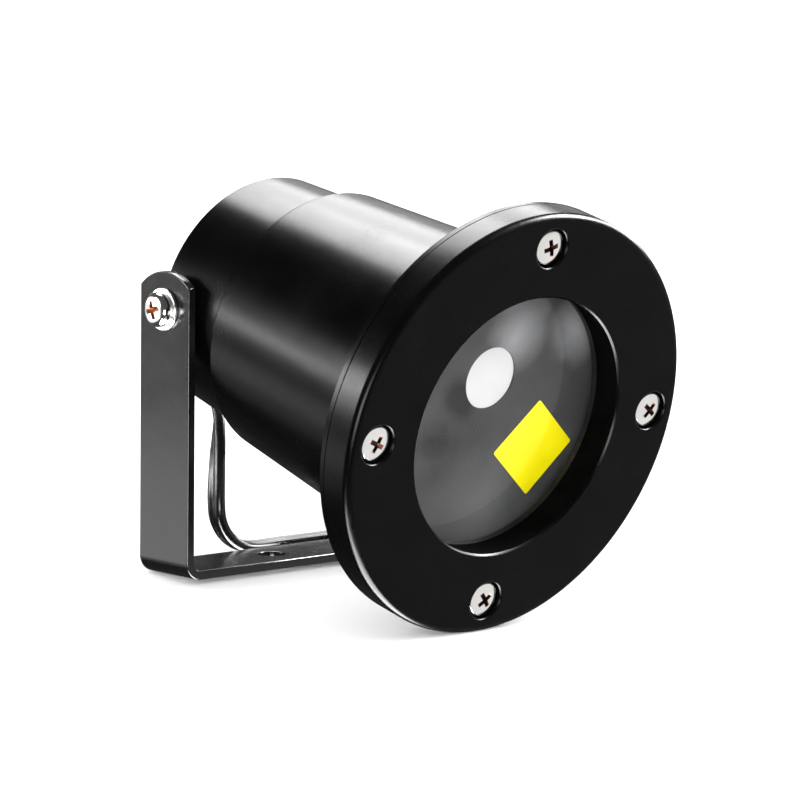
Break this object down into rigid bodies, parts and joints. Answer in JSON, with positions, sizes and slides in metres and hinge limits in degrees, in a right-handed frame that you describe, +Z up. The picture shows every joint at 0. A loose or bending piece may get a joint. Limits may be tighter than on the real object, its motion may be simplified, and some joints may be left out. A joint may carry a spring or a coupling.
{
  "type": "outdoor laser light projector",
  "caption": "Round black lamp head with a glass window, tilting between the arms of a U-shaped bracket, with a flat twin lead and a low-voltage plug.",
  "frame": {"origin": "middle of the footprint on the floor, measured without the lead, the coil and the plug", "axes": "+Z up from the floor; the window faces -Y, nosed down by 9.7 degrees; +X is the right-hand side seen from the rear, and the pivot axis runs along X"},
  "size_m": [0.1544, 0.1303, 0.0949],
  "materials": {
    "black_paint": "satin black powder coat",
    "bracket_paint": "semi-gloss black paint",
    "bright_steel": "bright nickel plate",
    "black_rubber": "matte black rubber",
    "clear_glass": "clear flat glass",
    "grey_panel": "dark grey print behind the glass",
    "white_lens": "translucent white",
    "black_nylon": "black nylon",
    "brass": "turned brass",
    "gilt_metal": "gilt can",
    "bare_aluminium": "milled aluminium",
    "green_board": "green solder mask",
    "black_component": "moulded black",
    "red_wire": "insulated wire",
    "black_cord": "satin black insulation",
    "black_plug": "moulded black grip",
    "plated_steel": "nickel plate"
  },
  "bodies": {
    "bracket": {"u_bracket": "bracket_paint", "power_cord": "black_cord", "cord_coil": "black_cord", "cord_end": "black_cord", "plug_grip": "black_plug", "plug_sleeve": "plated_steel"},
    "head": {"front_bezel": "black_paint", "main_housing": "black_paint", "rear_cap": "black_paint", "bezel_screws": "bright_steel", "pivot_screws": "bright_steel", "pivot_washers": "bright_steel", "heat_sink_screws": "bright_steel", "board_screws": "bright_steel", "glass_gasket": "black_rubber", "cap_seal": "black_rubber", "cable_grommet": "black_rubber", "front_glass": "clear_glass", "collimator_lens": "clear_glass", "front_panel": "grey_panel", "aperture_lens": "white_lens", "pivot_spacers": "black_nylon", "laser_barrel": "brass", "laser_diode": "gilt_metal", "heat_sink": "bare_aluminium", "board_standoffs": "brass", "driver_board": "green_board", "board_components": "black_component", "laser_leads": "red_wire", "supply_leads": "red_wire"}
  },
  "joints": [
    {"name": "head_tilt", "type": "hinge", "parent": "bracket", "child": "head", "pos_m": [0, 0.03917, 0.06049], "axis": [1, 0, 0], "range_deg": [-104, 18], "deforming": ["power_cord"]}
  ]
}
